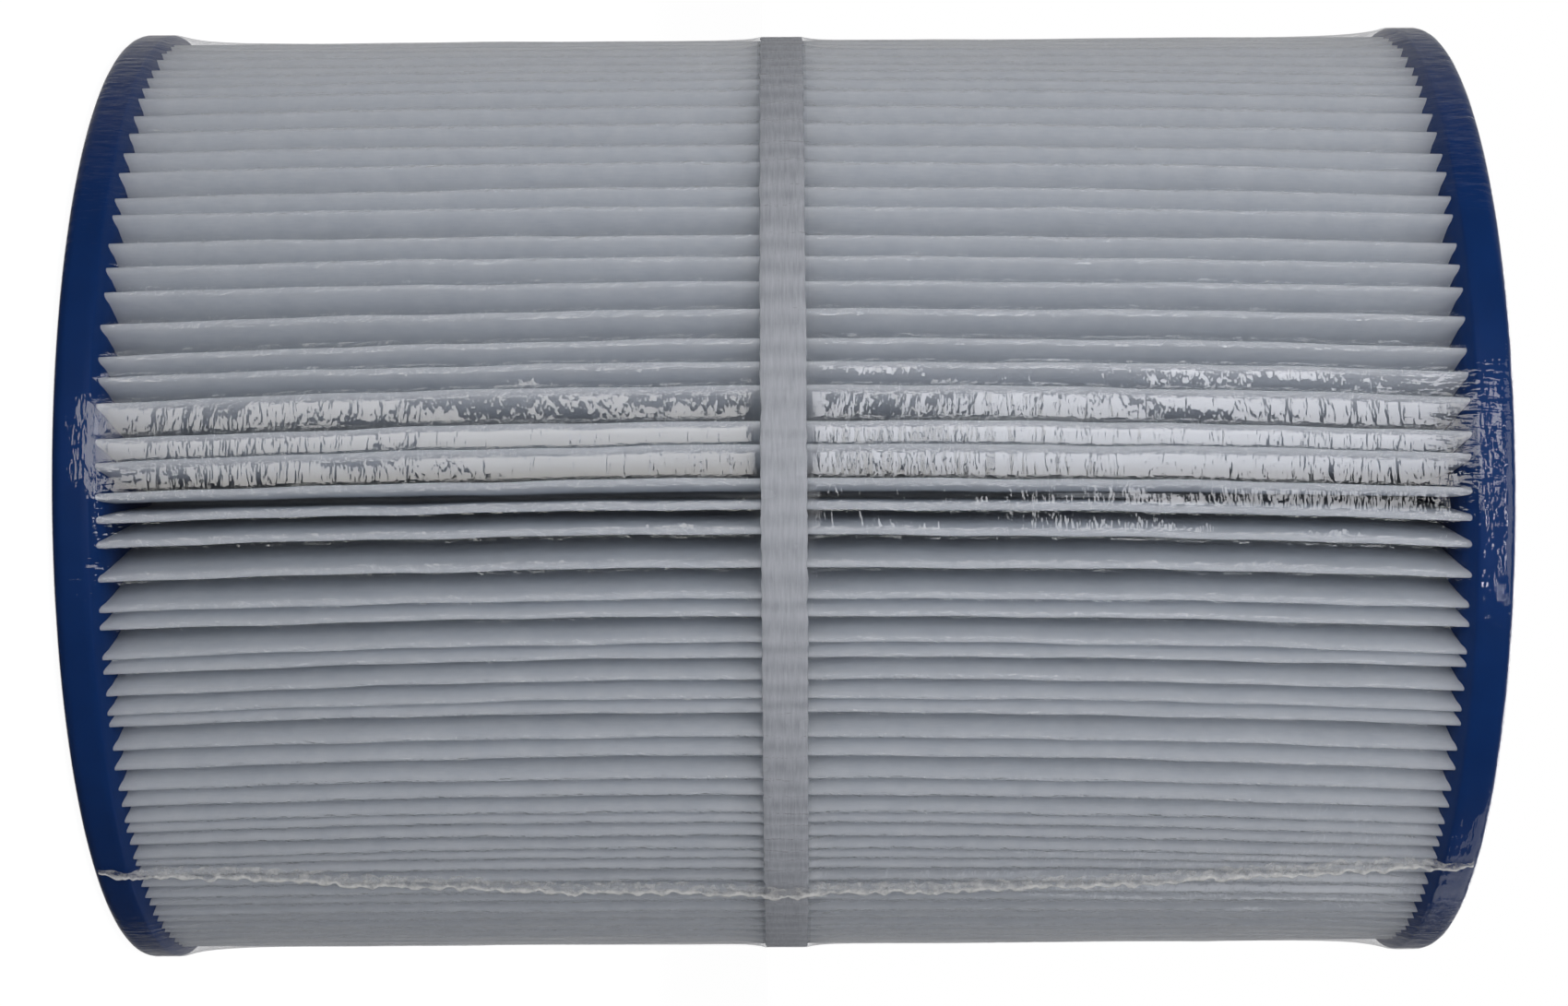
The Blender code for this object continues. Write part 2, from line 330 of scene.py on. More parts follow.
def drawn_out(tree, vector, width, length, degrees=0):
    """Coordinates in which a pattern of unit size comes out drawn to a width and a length."""
    return add_node(tree, "ShaderNodeMapping", {"Scale": (1 / width, 1 / length, 1.0),
                                                "Rotation": (0, 0, math.radians(degrees))},
                    Vector=vector).outputs[0]


# Spunbonded polyester, calendered: matt white cloth of fine random fibres. Up close the eye
# gets a faint cloudiness where the web is thicker. Real fibres are 0.02 mm, drawn at 0.3 mm.
# Some light comes through the thin cloth, so the depths between folds stay a soft grey.
media_cloth, tree, out = new_material("spunbonded_polyester_calendered")
where = add_node(tree, "ShaderNodeUVMap", {"uv_map": "cloth"})
cloud = noise(tree, where.outputs["UV"], 5 * MM, 5.0, 0.7)
fibre_one = noise(tree, drawn_out(tree, where.outputs["UV"], 0.35 * MM, 3.0 * MM, 24), detail=3.0)
fibre_two = noise(tree, drawn_out(tree, where.outputs["UV"], 0.4 * MM, 2.4 * MM, -57), detail=3.0)
fibres = add_node(tree, "ShaderNodeMath", {"operation": "ADD"},
                  _0=fibre_one.outputs["Fac"], _1=fibre_two.outputs["Fac"])
web = add_node(tree, "ShaderNodeMath", {"operation": "MULTIPLY_ADD", "1": 0.35},
               _0=fibres.outputs[0], _2=cloud.outputs["Fac"])
weight = add_node(tree, "ShaderNodeMapRange", {"From Min": 0.55, "From Max": 1.15},
                  Value=web.outputs[0])
tone = two_tone(tree, "#E8ECF1", "#F9FBFD", weight.outputs[0])
nap = add_node(tree, "ShaderNodeBump", {"Strength": 0.25, "Distance": 0.06 * MM},
               Height=fibres.outputs[0])
cloth = add_node(tree, "ShaderNodeBsdfPrincipled", {"Roughness": 0.78, "IOR": 1.45,
                                                    "Specular IOR Level": 0.3},
                 Base_Color=tone, Normal=nap.outputs["Normal"])
let_through = add_node(tree, "ShaderNodeBsdfTranslucent", Color=tone)
cloth_mix = add_node(tree, "ShaderNodeMixShader", {"0": 0.55}, _1=cloth.outputs[0],
                     _2=let_through.outputs[0])
tree.links.new(cloth_mix.outputs[0], out.inputs["Surface"])

media = grid_piece("pleated_media_strip", strip_points, media_cloth, uv=strip_uv)
stands_for(media, "pleated_spunbond", "pleated_media")


# ---- Side seam ---------------------------------------------------------------------------
# A run of hot melt glue that joins the strip's first and last panels, inside the fold that
# closes the ring. Its outer edge shows as a thin creamy line down the back.

# Hot melt: smooth and waxy, slightly yellow, with a soft shine.
hot_melt, tree, out = new_material("hot_melt_glue")
where = add_node(tree, "ShaderNodeTexCoord")
lumps = noise(tree, where.outputs["Object"], 3 * MM)
skin = add_node(tree, "ShaderNodeBump", {"Strength": 0.4, "Distance": 0.3 * MM},
                Height=lumps.outputs["Fac"])
tone = two_tone(tree, "#DCD6C2", "#E8E3D2", lumps.outputs["Fac"])
wax = add_node(tree, "ShaderNodeBsdfPrincipled", {"Roughness": 0.35, "IOR": 1.48},
               Base_Color=tone, Normal=skin.outputs["Normal"])
tree.links.new(wax.outputs[0], out.inputs["Surface"])

SEAM_WIDTH = 0.6 * MM
SEAM_SHAPE = (90, 12)  # rows along the bead, points round it
seam_low, seam_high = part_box("media_side_seam")
seam_rows = np.linspace(seam_low[2], seam_high[2], SEAM_SHAPE[0])
seam_in, seam_out = seam_low[1], seam_high[1]
loop = np.linspace(0, 2 * math.pi, SEAM_SHAPE[1], endpoint=False)
# The gun's uneven flow: the bead swells and thins every 15 mm or so.
swell = 1 + 0.25 * np.sin(seam_rows * 410) * np.sin(seam_rows * 173 + 1)
run_y = (seam_in + seam_out) / 2 + (seam_out - seam_in) / 2 * np.sign(np.cos(loop)) * np.abs(
    np.cos(loop)) ** 0.4
run_x = SEAM_WIDTH / 2 * np.sign(np.sin(loop)) * np.abs(np.sin(loop)) ** 0.7
seam_points = np.stack([swell[:, None] * run_x[None, :], np.broadcast_to(run_y, SEAM_SHAPE),
                        np.broadcast_to(seam_rows[:, None], SEAM_SHAPE)], axis=-1)
side_seam = grid_piece("side_seam_glue", seam_points, hot_melt, around=True)
stands_for(side_seam, "hot_melt", "media_side_seam")


# ---- Centre band -------------------------------------------------------------------------
# A narrow strip of the same spunbond, wound once round the pleat tips over a line of hot
# melt and lapped at the back. It keeps the tall folds evenly apart.

BAND_THICKNESS = 0.4 * MM
BAND_CLEAR = 0.3 * MM  # the glue holds it this far over the crests
BAND_LAP, LAP_STEPS = 14 * MM, 12  # the lap, and the steps in which the strip climbs over itself
GLUE_THICKNESS = 0.28 * MM
PER_PLEAT = 8  # columns from one crest to the next

band_low, band_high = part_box("centre_band")
glue_low, glue_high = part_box("band_glue_line")
band_middle = (band_low[2] + band_high[2]) / 2
band_half = (band_high[2] - band_low[2]) / 2
mid_row = len(strip_z) // 2
tip_turn, tip_reach = crest_turn[mid_row], crest_reach[mid_row]
tips = np.concatenate([tip_turn, [tip_turn[0] + 2 * math.pi]])
reaches = np.concatenate([tip_reach, [tip_reach[0]]])
between = np.linspace(0, 1, PER_PLEAT, endpoint=False)
ring_turn = (tips[:-1, None] + between * np.diff(tips)[:, None]).ravel()
ring_reach = (reaches[:-1, None] + between * np.diff(reaches)[:, None]).ravel()
over_gap = np.tile(0.5 - 0.5 * np.cos(2 * math.pi * between), PLEATS)  # 0 on a crest, 1 between


def wound_strip(name, material, turns, inner, thickness, half_height, sag, fray):
    """A closed strip wound round the crests, with a slightly uneven edge."""
    across = np.array([-1, -0.96, -0.6, -0.2, 0.2, 0.6, 0.96, 1.0])
    uneven = fray * chance.normal(0, 1, (len(turns), 2))
    uneven[1:-1] = (uneven[:-2] + 2 * uneven[1:-1] + uneven[2:]) / 4
    rows = []
    for face, order in ((thickness, across), (0.0, across[::-1])):
        for place in order:
            edge = uneven[:, 0] if place < 0 else uneven[:, 1]
            worn_edge = 0.12 * MM if abs(place) == 1 and face else 0
            radius = inner + face - sag * (1 - 0.5 * abs(place)) - worn_edge
            rows.append(np.stack([radius * np.cos(turns), radius * np.sin(turns),
                                  band_middle + place * half_height + edge * abs(place)], axis=-1))
    points = np.stack(rows)
    run = np.concatenate([[0], np.cumsum(np.diff(turns))]) * crest_radius
    uv = np.stack(np.broadcast_arrays(run[None, :], points[:, :, 2]), axis=-1)
    sagged = np.broadcast_to(sag / float(np.max(sag)), points.shape[:2])
    return grid_piece(name, points, material, closed=True, uv=uv, marks={"over_gap": sagged})


# The band's spunbond is pulled tight, so its fibres run round the cartridge. Its colour is
# darkened in soft grey blotches over the gaps between crests: painted shade of the gaps behind.
band_cloth, tree, out = new_material("spunbonded_polyester_strip")
where = add_node(tree, "ShaderNodeUVMap", {"uv_map": "cloth"})
fibres = noise(tree, drawn_out(tree, where.outputs["UV"], 5 * MM, 0.45 * MM, 3), 1.0, 4.0, 0.65)
blotches = noise(tree, drawn_out(tree, where.outputs["UV"], 3.6 * MM, 2.2 * MM), 1.0, 3.0, 0.6)
# Painted shade: the band's colour darkens in blotches where it spans a gap between crests.
gap = add_node(tree, "ShaderNodeAttribute", {"attribute_name": "over_gap"})
painted_gap_shade = add_node(tree, "ShaderNodeMath", {"operation": "MULTIPLY"},
                        _0=gap.outputs["Fac"], _1=blotches.outputs["Fac"])
fibres_and_gap_shade = add_node(tree, "ShaderNodeMath", {"operation": "MULTIPLY_ADD", "1": -0.55},
                 _0=painted_gap_shade.outputs[0], _2=fibres.outputs["Fac"])
weight = add_node(tree, "ShaderNodeMapRange", {"From Min": 0.1, "From Max": 0.65},
                  Value=fibres_and_gap_shade.outputs[0])
tone = two_tone(tree, "#A3A6AC", "#BFC2C7", weight.outputs[0])
nap = add_node(tree, "ShaderNodeBump", {"Strength": 0.5, "Distance": 0.12 * MM},
               Height=fibres.outputs["Fac"])
cloth = add_node(tree, "ShaderNodeBsdfPrincipled", {"Roughness": 0.8, "IOR": 1.45,
                                                    "Specular IOR Level": 0.3},
                 Base_Color=tone, Normal=nap.outputs["Normal"])
tree.links.new(cloth.outputs[0], out.inputs["Surface"])

glue_line = wound_strip("band_glue_bead", hot_melt, ring_turn, ring_reach, GLUE_THICKNESS,
                        (glue_high[2] - glue_low[2]) / 2, 0.04 * MM * over_gap, 0.15 * MM)
stands_for(glue_line, "hot_melt", "band_glue_line")

lap_turn = BAND_LAP / crest_radius
lapped = ring_turn[ring_turn < ring_turn[0] + lap_turn]
lap_count = len(lapped)
wound_turn = np.concatenate([ring_turn, lapped + 2 * math.pi])
over_lap = np.concatenate([np.zeros(len(ring_turn) - LAP_STEPS), np.linspace(0, 1, LAP_STEPS),
                           np.ones(lap_count)])
wound_reach = np.concatenate([ring_reach, ring_reach[:lap_count]]) + BAND_CLEAR
wound_reach = wound_reach + over_lap * (BAND_THICKNESS + 0.05 * MM)
wound_gap = np.concatenate([over_gap, over_gap[:lap_count]])
band = wound_strip("centre_band_strip", band_cloth, wound_turn, wound_reach, BAND_THICKNESS,
                   band_half, 0.035 * MM * wound_gap, 0.10 * MM)
stands_for(band, "spunbond_band", "centre_band")


# ---- End caps ----------------------------------------------------------------------------
# Discs of blue polyurethane, cast in an open mould round the ends of the pleats and the core.
# Each has a rounded outer edge, a flat face, and a raised ring round the bore that seals.

# Cast urethane: deep blue, satin and slightly rubbery, with a faint mottle from the mould.
blue_urethane, tree, out = new_material("cast_blue_polyurethane")
where = add_node(tree, "ShaderNodeTexCoord")
mottle = noise(tree, where.outputs["Object"], 9 * MM, 5.0, 0.6)
tone = two_tone(tree, "#062D63", "#083775", mottle.outputs["Fac"])
grain = noise(tree, where.outputs["Object"], 0.7 * MM, 3.0)
dull = add_node(tree, "ShaderNodeMapRange", {"To Min": 0.4, "To Max": 0.55},
                Value=mottle.outputs["Fac"])
skin = add_node(tree, "ShaderNodeBump", {"Strength": 0.18, "Distance": 0.08 * MM},
                Height=grain.outputs["Fac"])
urethane = add_node(tree, "ShaderNodeBsdfPrincipled", {"IOR": 1.5, "Specular IOR Level": 0.15},
                    Base_Color=tone, Roughness=dull.outputs[0], Normal=skin.outputs["Normal"])
tree.links.new(urethane.outputs[0], out.inputs["Surface"])

RIM_HEIGHT = 6.6 * MM
RIM_ROUNDING = 2.0 * MM
INNER_LIP = 0.45 * MM
BORE_RADIUS = 38.1 * MM
BORE_EDGE = 0.9 * MM
SEAL_RING_RADIUS = 49.0 * MM
SEAL_RING_EDGE = 0.6 * MM
CAP_COLUMNS = 256
# How far the resin crept up between the folds before it set, by radius, in mm.
RESIN_RISE = [(87.9, 0.2), (86.9, 0.8), (85.2, 1.4), (82, 1.8), (76, 2.0), (64, 2.0), (52, 2.0),
              (44, 1.2), (40, 0.3)]
cap_low, cap_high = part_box("top_end_cap")
cap_radius = cap_high[0]
inner_face = cap_low[2]  # of the top cap; the bottom one is its mirror image
rim_face = inner_face + RIM_HEIGHT
seal_face = cap_high[2]


def arc_points(centre_r, centre_z, radius, start, end, steps):
    """Points along an arc of the turned section, both ends included."""
    turns = np.radians(np.linspace(start, end, steps + 1))
    return [(centre_r + radius * math.cos(t), centre_z + radius * math.sin(t)) for t in turns]


def cap_section():
    """The top cap's section: down the rim, in along its inner face and back out over the top."""
    line = arc_points(cap_radius - RIM_ROUNDING, rim_face - RIM_ROUNDING, RIM_ROUNDING, 90, 0, 10)
    line += [(cap_radius, inner_face + share * RIM_HEIGHT) for share in (0.5, 0.25)]
    line += [(cap_radius, inner_face + INNER_LIP), (cap_radius - 0.08 * MM, inner_face + 0.3 * MM),
             (cap_radius - INNER_LIP, inner_face)]
    line += [(radius * MM, inner_face - rise * MM) for radius, rise in RESIN_RISE]
    line += [(BORE_RADIUS + 0.5 * MM, inner_face)]
    line += [(BORE_RADIUS, inner_face + 0.5 * MM), (BORE_RADIUS, seal_face - BORE_EDGE)]
    line += arc_points(BORE_RADIUS + BORE_EDGE, seal_face - BORE_EDGE, BORE_EDGE, 180, 90, 5)[1:]
    line += [(SEAL_RING_RADIUS - 3 * MM, seal_face)]
    line += arc_points(SEAL_RING_RADIUS - SEAL_RING_EDGE, seal_face - SEAL_RING_EDGE,
                       SEAL_RING_EDGE, 90, 20, 4)
    line += [(SEAL_RING_RADIUS + 0.5 * MM, rim_face), (56 * MM, rim_face), (70 * MM, rim_face),
             (82 * MM, rim_face)]
    return np.array(line)


turned = np.linspace(0, 2 * math.pi, CAP_COLUMNS, endpoint=False)
cap_line = cap_section()
for name, node, mirrored in (("top_cap_casting", "top_end_cap", False),
                             ("bottom_cap_casting", "bottom_end_cap", True)):
    radius, height = cap_line[:, 0], cap_line[:, 1]
    if mirrored:
        height = 2 * middle_z - height
    ring = np.stack([radius[:, None] * np.cos(turned), radius[:, None] * np.sin(turned),
                     np.broadcast_to(height[:, None], (len(radius), len(turned)))], axis=-1)
    if mirrored:
        ring = ring[::-1]
    cap = grid_piece(name, ring, blue_urethane, around=True, closed=True)
    cap.data.set_sharp_from_angle(angle=math.radians(38))
    stands_for(cap, "blue_urethane", node)


# ---- Shrink film -------------------------------------------------------------------------
# A sleeve of clear polyolefin film, shrunk tight in a heat tunnel. It lies in flat facets
# from crest to crest, bridges to both rims, and gathers round an open eye on each end face.

FILM_EYE = 54 * MM
FILM_STEPS = 5  # columns between two crests
FACE_STEPS, EDGE_STEPS, RIM_STEPS = 14, 6, 8  # rows over an end face, round its edge, down its rim
RIM_CLEAR, CREST_CLEAR = 0.08 * MM, 0.14 * MM
RIM_BRIDGE, BAND_BRIDGE = 5.5 * MM, 2.2 * MM  # how far the film takes to come down to the crests

# Rows run close together beside the band and the rims, where the film turns most.
facet_share = np.linspace(0, 1, FILM_STEPS, endpoint=False)
ends = inner_face - 0.2 * MM
bridge = np.array([0, 0.6, 1.4, 2.6, 4.2, 6.5, 9.5, 13.5, 19.0]) * MM
beside_band = band_half + np.array([0, 0.5, 1.1, 1.9, 3.0, 4.6]) * MM
upper_half = np.concatenate([beside_band, np.linspace(band_half + 6.5 * MM,
                                                      ends - 24 * MM - band_middle, 36)])
upper_half = np.concatenate([band_middle + upper_half, (ends - bridge)[::-1]])
on_band_z = np.linspace(band_middle - band_half, band_middle + band_half, 5)[1:-1]
side_z = np.concatenate([(2 * band_middle - upper_half)[::-1], on_band_z, upper_half])


def waves(first, second, scales, seed):
    """Smooth random ripples over two directions: a sum of slanted sine waves of unit size."""
    draw = np.random.default_rng(seed)
    total = 0
    for size_one, size_two in scales:
        for _ in range(3):
            slant = draw.uniform(-1, 1)
            total = total + np.sin(2 * math.pi * (first / size_one + slant * second / size_two
                                                  + draw.uniform()))
    return total / (3 * len(scales)) ** 0.5


def carried(values, heights):
    """Per-fold values along the strip, read off at other heights."""
    return np.stack([np.interp(heights, strip_z, values[:, k]) for k in range(PLEATS)], axis=1)


turn_here, reach_here = carried(crest_turn, side_z), carried(crest_reach, side_z)
from_cap = np.minimum(side_z - side_z[0], side_z[-1] - side_z)[:, None]
from_band = np.abs(side_z - band_middle)[:, None]
at_rim = np.exp(-from_cap / RIM_BRIDGE)
over_band = np.exp(-(np.maximum(from_band - band_half, 0) / BAND_BRIDGE))
contact = (1 - at_rim) * (reach_here + CREST_CLEAR) + at_rim * (cap_radius + RIM_CLEAR)
contact = contact + over_band * (BAND_CLEAR + BAND_THICKNESS)
tip_xy = at(contact, turn_here, 0 * contact)
next_xy = np.roll(tip_xy, -1, axis=1)
facets = tip_xy[:, :, None, :] + facet_share[None, None, :, None] * (
    next_xy - tip_xy)[:, :, None, :]
facets = facets.reshape(len(side_z), -1, 2)
film_turn = np.arctan2(facets[..., 1], facets[..., 0])
film_radius = np.linalg.norm(facets, axis=-1)
flatness = np.tile(4 * facet_share * (1 - facet_share), PLEATS)[None, :]
free = 1 - at_rim
# Shrinking pulls each facet in a little. It isn't quite flat: long slack waves and finer ones.
pull = 0.035 * MM + 0.03 * MM * waves(film_turn * crest_radius, side_z[:, None],
                                      [(60 * MM, 40 * MM), (25 * MM, 70 * MM)], 5)
slack = 0.055 * MM * waves(side_z[:, None], film_turn * crest_radius,
                           [(46 * MM, 30 * MM), (23 * MM, 17 * MM)], 8)
slack = slack + 0.010 * MM * waves(side_z[:, None], film_turn * crest_radius,
                                   [(7 * MM, 9 * MM)], 9)
# Each facet also has waves of its own, which break the mirrored window up from fold to fold.
own_slack = 0
for size, height in ((37 * MM, 0.055 * MM), (17 * MM, 0.03 * MM)):
    own_phase = side_z[:, None] / size + chance.uniform(0, 1, PLEATS)
    own_slack = own_slack + height * np.sin(2 * math.pi * own_phase)
slack = slack + np.repeat(own_slack, FILM_STEPS, axis=1) * flatness
film_radius = film_radius - free * flatness * pull + free * slack * (0.35 + 0.65 * flatness)

# Each end's rows: out from the eye over the end face, round the rim's edge and down the rim.
shoulder = []
for end, column_turn, face, sign in ((0, film_turn[0], 2 * middle_z - rim_face, -1),
                                     (1, film_turn[-1], rim_face, 1)):
    rows = []
    edge_z = face - sign * RIM_ROUNDING
    lap = FILM_EYE + 1.1 * MM * waves(column_turn, 0, [(0.9, 1), (0.31, 1)], 20 + end)
    gathers = waves(column_turn, 0, [(2 * math.pi / 47, 1), (2 * math.pi / 71, 1),
                                     (2 * math.pi / 33, 1)], 30 + end)
    for step in range(FACE_STEPS):
        out_share = step / FACE_STEPS
        radius = lap + (cap_radius - RIM_ROUNDING - lap) * out_share
        gather = gathers * 0.20 * MM * (1 - out_share) ** 1.5 + 0.10 * MM
        rows.append((radius, face + sign * (RIM_CLEAR + np.maximum(gather, 0.02 * MM))))
    for step in range(EDGE_STEPS):
        tilt = math.radians(90 - 90 * step / EDGE_STEPS)
        puff = RIM_CLEAR + 0.03 * MM * gathers * math.sin(math.pi * step / EDGE_STEPS)
        rows.append((cap_radius - RIM_ROUNDING + (RIM_ROUNDING + puff) * math.cos(tilt),
                     edge_z + sign * (RIM_ROUNDING + puff) * math.sin(tilt)))
    for z in np.linspace(edge_z, side_z[-1] if end else side_z[0], RIM_STEPS + 1)[:-1]:
        short_folds = waves(column_turn * cap_radius, z, [(3.1 * MM, 9 * MM),
                                                          (5.3 * MM, 14 * MM)], 40 + end)
        rows.append((cap_radius + RIM_CLEAR + 0.035 * MM * (1 + short_folds),
                     np.full_like(column_turn, z)))
    shoulder.append([np.stack([r * np.cos(column_turn), r * np.sin(column_turn), z], axis=-1)
                     for r, z in rows])
side = np.stack([film_radius * np.cos(film_turn), film_radius * np.sin(film_turn),
                 np.broadcast_to(side_z[:, None], film_radius.shape)], axis=-1)
film_points = np.concatenate([np.stack(shoulder[0]), side, np.stack(shoulder[1][::-1])])
on_rim, on_band, on_crest = (np.zeros(film_points.shape[:2]) for _ in range(3))
end_rows = len(shoulder[0])
on_rim[FACE_STEPS:end_rows] = 1
on_rim[-end_rows:-FACE_STEPS] = 1
on_rim[end_rows:-end_rows] = at_rim ** 0.7
on_band[end_rows:-end_rows] = over_band ** 2
on_crest[end_rows:-end_rows] = (1 - flatness) ** 4 * free
profile_run = np.concatenate([[0], np.cumsum(np.linalg.norm(np.diff(film_points[:, 0], axis=0),
                                                            axis=-1))])
film_arc = np.unwrap(np.arctan2(film_points[..., 1], film_points[..., 0]), axis=1) * cap_radius
film_uv = np.stack([film_arc, np.broadcast_to(profile_run[:, None], film_arc.shape)], axis=-1)

# Polyolefin film: clear and glossy. The eye gets sharp patches of reflected window on its
# facets, glints where it touches each crest, and short crinkles in places on the rims.
clear_film, tree, out = new_material("clear_polyolefin_film")
where = add_node(tree, "ShaderNodeUVMap", {"uv_map": "cloth"})
rim = add_node(tree, "ShaderNodeAttribute", {"attribute_name": "on_rim"})
crest = add_node(tree, "ShaderNodeAttribute", {"attribute_name": "on_crest"})
crinkle = noise(tree, drawn_out(tree, where.outputs["UV"], 1.5 * MM, 5.5 * MM, 18), 1.0, 2.0, 0.55)
gathered = noise(tree, where.outputs["UV"], 26 * MM, 1.0)
in_places = add_node(tree, "ShaderNodeMapRange", {"From Min": 0.46, "From Max": 0.62,
                                                  "To Min": 0.03, "To Max": 1.1},
                     Value=gathered.outputs["Fac"])
rim_share = add_node(tree, "ShaderNodeMath", {"operation": "MULTIPLY"},
                     _0=in_places.outputs[0], _1=rim.outputs["Fac"])
crinkle_here = add_node(tree, "ShaderNodeMath", {"operation": "MULTIPLY"},
                        _0=crinkle.outputs["Fac"], _1=rim_share.outputs[0])
beads = noise(tree, drawn_out(tree, where.outputs["UV"], 1.2 * MM, 2.6 * MM), 1.0, 3.0, 0.6)
centred = add_node(tree, "ShaderNodeMath", {"operation": "SUBTRACT", "1": 0.5},
                   _0=beads.outputs["Fac"])
beads_here = add_node(tree, "ShaderNodeMath", {"operation": "MULTIPLY"},
                      _0=centred.outputs[0], _1=crest.outputs["Fac"])
puckers = noise(tree, drawn_out(tree, where.outputs["UV"], 9 * MM, 3.2 * MM), 1.0, 3.0, 0.6)
puckered = add_node(tree, "ShaderNodeMath", {"operation": "MULTIPLY_ADD", "1": 0.75},
                    _0=puckers.outputs["Fac"], _2=crinkle_here.outputs[0])
relief = add_node(tree, "ShaderNodeMath", {"operation": "MULTIPLY_ADD", "1": 4.0},
                  _0=beads_here.outputs[0], _2=puckered.outputs[0])
folds = add_node(tree, "ShaderNodeBump", {"Strength": 1.0, "Distance": 0.4 * MM},
                 Height=relief.outputs[0])
# Both faces of a thin sheet reflect, about 8% head on and all of it at a glancing angle.
FILM_HEAD_ON = 0.08
slant = add_node(tree, "ShaderNodeLayerWeight", {"Blend": 0.5}, Normal=folds.outputs["Normal"])
fifth = add_node(tree, "ShaderNodeMath", {"operation": "POWER", "1": 5.0},
                 _0=slant.outputs["Facing"])
mirror_share = add_node(tree, "ShaderNodeMath",
                        {"operation": "MULTIPLY_ADD", "1": 1 - FILM_HEAD_ON, "2": FILM_HEAD_ON},
                        _0=fifth.outputs[0])
# Stuck down on the band's fibres it loses most of that, and its gloss turns to a broad sheen.
taped = add_node(tree, "ShaderNodeAttribute", {"attribute_name": "on_band"})
kept = add_node(tree, "ShaderNodeMapRange", {"To Min": 1.0, "To Max": 0.35},
                Value=taped.outputs["Fac"])
# On a rim its inner face clings to the urethane and reflects nothing, which leaves the outer one.
clinging = add_node(tree, "ShaderNodeMapRange", {"To Min": 1.0, "To Max": 0.6},
                    Value=rim.outputs["Fac"])
free_share = add_node(tree, "ShaderNodeMath", {"operation": "MULTIPLY"},
                      _0=mirror_share.outputs[0], _1=clinging.outputs[0])
mirrored = add_node(tree, "ShaderNodeMath", {"operation": "MULTIPLY"},
                    _0=free_share.outputs[0], _1=kept.outputs[0])
through = add_node(tree, "ShaderNodeBsdfTransparent", {"Color": (0.97, 0.97, 0.975, 1.0)})
rough = add_node(tree, "ShaderNodeMapRange", {"To Min": 0.045, "To Max": 0.42},
                 Value=taped.outputs["Fac"])
shine = add_node(tree, "ShaderNodeBsdfGlossy", {"Color": (1, 1, 1, 1)},
                 Roughness=rough.outputs[0], Normal=folds.outputs["Normal"])
film_mix = add_node(tree, "ShaderNodeMixShader", {}, _0=mirrored.outputs[0],
                    _1=through.outputs[0], _2=shine.outputs[0])
tree.links.new(film_mix.outputs[0], out.inputs["Surface"])

film = grid_piece("shrink_film_sleeve", film_points, clear_film, around=True, uv=film_uv,
                  marks={"on_rim": on_rim, "on_crest": on_crest, "on_band": on_band})
stands_for(film, "clear_film", "shrink_film")


# ---- Weld seam of the film -----------------------------------------------------------------
# Where a hot wire cut and welded the sleeve. The heat tunnel drew the fin down into a ragged,
# milky ribbon that runs the cartridge's length and over both rims.

WELD_TURN = FRONT_TURN + math.radians(51)
WELD_ROWS, WELD_COLUMNS = 420, 12
WELD_HALF_WIDTH = 2.0 * MM  # on average; it wanders by 0.6 mm and narrows towards its ends
WELD_BOW, WELD_SHIFT = 9.2 * MM, 4.4 * MM  # how far its middle sways out, and its ends the other way
WELD_END = 1.2 * MM  # how far short of the rims' faces it stops
weld_run = np.linspace(0, 1, WELD_ROWS)
weld_z = np.interp(weld_run, [0, 1], [2 * middle_z - rim_face + WELD_END, rim_face - WELD_END])
sway = WELD_BOW * np.sin(math.pi * weld_run) - WELD_SHIFT
sway = sway + 0.35 * MM * waves(weld_z, 0, [(34 * MM, 1), (13 * MM, 1)], 61)
narrow = np.clip(np.minimum(weld_run, 1 - weld_run) / 0.06, 0.0, 1.0)
half_width = WELD_HALF_WIDTH + 0.6 * MM * waves(weld_z, 0, [(9 * MM, 1), (4 * MM, 1)], 62)
ribbon = np.maximum((0.35 + 0.65 * narrow) * half_width, 0.25 * MM)
across = np.linspace(-1, 1, WELD_COLUMNS)
low_edge = 0.42 * MM * waves(weld_z, 0, [(5 * MM, 1), (2.6 * MM, 1)], 63)
sideways = sway[:, None] + ribbon[:, None] * across[None, :] + low_edge[:, None] * (across > 0.6)
weld_turns = WELD_TURN + sideways / cap_radius
film_mean = np.interp(weld_z, side_z, film_radius.max(axis=1))
rounded_off = np.clip((np.abs(weld_z - middle_z) - (rim_face - RIM_ROUNDING - middle_z))
                      / RIM_ROUNDING, 0, 1)
film_mean = film_mean - RIM_ROUNDING * (1 - np.sqrt(1 - np.minimum(rounded_off, 0.95) ** 2))
crumple = 0.22 * MM * np.abs(waves(sideways, weld_z[:, None], [(2.4 * MM, 3 * MM),
                                                              (5 * MM, 2 * MM)], 64))
crumple = crumple + 0.10 * MM * np.abs(waves(weld_z[:, None], sideways, [(2.2 * MM, 4 * MM)], 65))
bead_ridge = 0.35 * MM * np.exp(-((across - 0.75) / 0.22) ** 2)[None, :]
weld_radius = film_mean[:, None] + 0.10 * MM + crumple + bead_ridge
weld_points = np.stack([weld_radius * np.cos(weld_turns), weld_radius * np.sin(weld_turns),
                        np.broadcast_to(weld_z[:, None], weld_radius.shape)], axis=-1)
weld_uv = np.stack(np.broadcast_arrays(sideways, weld_z[:, None]), axis=-1)
ridge_mark = np.broadcast_to(np.exp(-((across - 0.75) / 0.25) ** 2)[None, :], weld_radius.shape)

